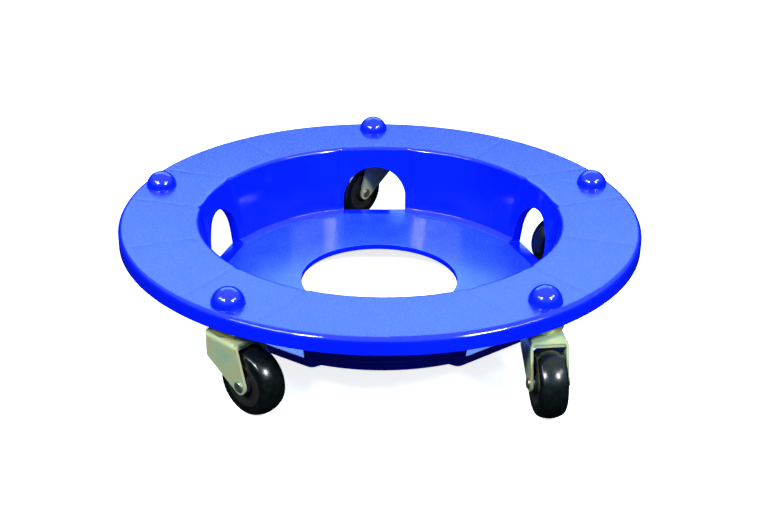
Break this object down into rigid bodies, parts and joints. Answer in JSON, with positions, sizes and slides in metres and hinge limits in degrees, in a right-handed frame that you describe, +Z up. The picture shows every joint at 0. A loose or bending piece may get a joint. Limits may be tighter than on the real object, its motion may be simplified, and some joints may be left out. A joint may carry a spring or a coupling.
{
  "type": "drum dolly",
  "caption": "Round moulded drum dolly with a recessed well, drain hole and arched wall windows, riding on swivel casters under a wide flat rim.",
  "frame": {"origin": "on the floor under the centre of the deck", "axes": "+Z up, +Y towards the back caster, +X to the right seen from the front"},
  "size_m": [0.61, 0.61, 0.1325],
  "materials": {
    "deck": "glossy blue moulded polyethylene with a fine grain on the rim",
    "steel": "plain steel",
    "yellow_zinc": "yellow passivated zinc",
    "pale_zinc": "pale iridescent zinc plating",
    "rivet": "dull plated steel",
    "core": "black moulded plastic",
    "tyre": "black moulded rubber with a soft gloss"
  },
  "bodies": {
    "deck": {"deck": "deck", "back_stem": "steel", "back_grip_ring": "steel", "back_top_race": "yellow_zinc", "back_lower_race": "steel", "left_stem": "steel", "left_grip_ring": "steel", "left_top_race": "yellow_zinc", "left_lower_race": "steel", "front_left_stem": "steel", "front_left_grip_ring": "steel", "front_left_top_race": "yellow_zinc", "front_left_lower_race": "steel", "front_right_stem": "steel", "front_right_grip_ring": "steel", "front_right_top_race": "yellow_zinc", "front_right_lower_race": "steel", "right_stem": "steel", "right_grip_ring": "steel", "right_top_race": "yellow_zinc", "right_lower_race": "steel"},
    "caster_back": {"back_fork": "pale_zinc", "back_upper_balls": "steel", "back_lower_balls": "steel", "back_axle": "rivet", "back_bushing": "steel"},
    "wheel_back": {"back_wheel_core": "core", "back_tyre": "tyre"},
    "caster_left": {"left_fork": "pale_zinc", "left_upper_balls": "steel", "left_lower_balls": "steel", "left_axle": "rivet", "left_bushing": "steel"},
    "wheel_left": {"left_wheel_core": "core", "left_tyre": "tyre"},
    "caster_front_left": {"front_left_fork": "pale_zinc", "front_left_upper_balls": "steel", "front_left_lower_balls": "steel", "front_left_axle": "rivet", "front_left_bushing": "steel"},
    "wheel_front_left": {"front_left_wheel_core": "core", "front_left_tyre": "tyre"},
    "caster_front_right": {"front_right_fork": "pale_zinc", "front_right_upper_balls": "steel", "front_right_lower_balls": "steel", "front_right_axle": "rivet", "front_right_bushing": "steel"},
    "wheel_front_right": {"front_right_wheel_core": "core", "front_right_tyre": "tyre"},
    "caster_right": {"right_fork": "pale_zinc", "right_upper_balls": "steel", "right_lower_balls": "steel", "right_axle": "rivet", "right_bushing": "steel"},
    "wheel_right": {"right_wheel_core": "core", "right_tyre": "tyre"}
  },
  "joints": [
    {"name": "swivel_back", "type": "hinge", "parent": "deck", "child": "caster_back", "pos_m": [0, 0.279, 0.0835], "axis": [0, 0, 1], "continuous": true},
    {"name": "wheel_spin_back", "type": "hinge", "parent": "caster_back", "child": "wheel_back", "pos_m": [-0.0244, 0.25461, 0.0375], "axis": [0.7071, -0.7071, 0], "continuous": true},
    {"name": "swivel_left", "type": "hinge", "parent": "deck", "child": "caster_left", "pos_m": [-0.26534, 0.08622, 0.0835], "axis": [0, 0, 1], "continuous": true},
    {"name": "wheel_spin_left", "type": "hinge", "parent": "caster_left", "child": "wheel_left", "pos_m": [-0.27134, 0.12019, 0.0375], "axis": [-0.9848, -0.1736, 0], "continuous": true},
    {"name": "swivel_front_left", "type": "hinge", "parent": "deck", "child": "caster_front_left", "pos_m": [-0.16399, -0.22572, 0.0835], "axis": [0, 0, 1], "continuous": true},
    {"name": "wheel_spin_front_left", "type": "hinge", "parent": "caster_front_left", "child": "wheel_front_left", "pos_m": [-0.13917, -0.24968, 0.0375], "axis": [0.6947, 0.7193, 0], "continuous": true},
    {"name": "swivel_front_right", "type": "hinge", "parent": "deck", "child": "caster_front_right", "pos_m": [0.16399, -0.22572, 0.0835], "axis": [0, 0, 1], "continuous": true},
    {"name": "wheel_spin_front_right", "type": "hinge", "parent": "caster_front_right", "child": "wheel_front_right", "pos_m": [0.1667, -0.26011, 0.0375], "axis": [0.9969, 0.0785, 0], "continuous": true},
    {"name": "swivel_right", "type": "hinge", "parent": "deck", "child": "caster_right", "pos_m": [0.26534, 0.08622, 0.0835], "axis": [0, 0, 1], "continuous": true},
    {"name": "wheel_spin_right", "type": "hinge", "parent": "caster_right", "child": "wheel_right", "pos_m": [0.23142, 0.07993, 0.0375], "axis": [0.1822, -0.9833, 0], "continuous": true}
  ]
}
